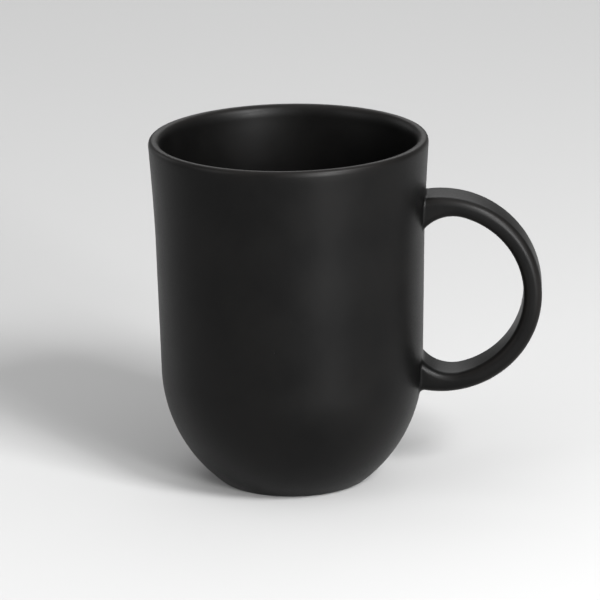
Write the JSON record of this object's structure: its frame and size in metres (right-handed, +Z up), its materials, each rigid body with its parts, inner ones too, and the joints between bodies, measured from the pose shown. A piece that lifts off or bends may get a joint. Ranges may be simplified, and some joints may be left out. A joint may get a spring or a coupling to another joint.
{
  "type": "ceramic mug",
  "caption": "Tall round-bottomed ceramic mug with a gently flared lip, a small foot ring and a ring-shaped strap handle.",
  "frame": {"origin": "on the plane that the foot ring stands on, at the middle of the bounding box, so the cup's own axis is 17.1 mm to the -X side", "axes": "+Z up, out of the cup's mouth; +X from the cup towards the handle; the mug is the same on both sides of the XZ plane"},
  "size_m": [0.1192, 0.085, 0.1076],
  "materials": {
    "cup_glaze": "satin black glaze",
    "handle_glaze": "satin black glaze",
    "slip_glaze": "satin black glaze"
  },
  "bodies": {
    "root": {"cup_body": "cup_glaze", "handle": "handle_glaze", "upper_slip_joint": "slip_glaze", "lower_slip_joint": "slip_glaze"}
  },
  "joints": []
}
